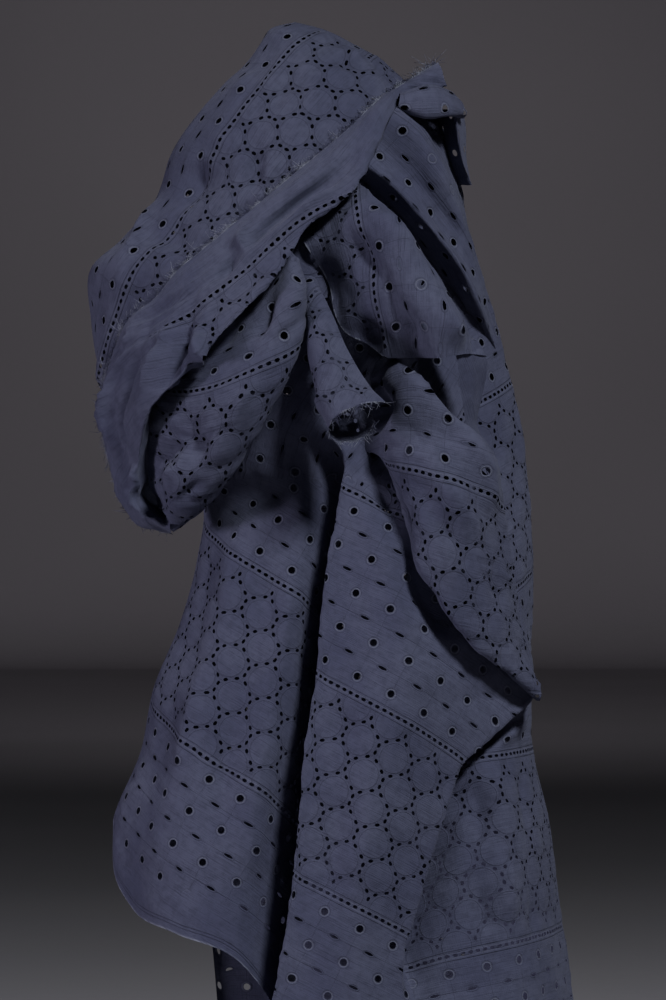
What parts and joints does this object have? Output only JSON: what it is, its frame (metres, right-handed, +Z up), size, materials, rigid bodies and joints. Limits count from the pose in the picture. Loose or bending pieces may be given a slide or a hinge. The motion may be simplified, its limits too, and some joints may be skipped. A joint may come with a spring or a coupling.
{
  "type": "draped eyelet fabric",
  "caption": "Length of eyelet cotton fabric draped over a hidden support, bunched at the top into a wrap, a bag of slack, a flap and a rolled tail, and hanging in folds to an open bottom.",
  "frame": {"origin": "hanging point just under the top of the cloth, where the hidden support holds it", "axes": "+Z up, +X to the right as seen from the front, the front faces -Y"},
  "size_m": [0.2506, 0.2148, 0.5495],
  "materials": {
    "cotton": "matt slate blue cotton"
  },
  "bodies": {
    "root": {"cloth": "cotton"}
  },
  "joints": []
}
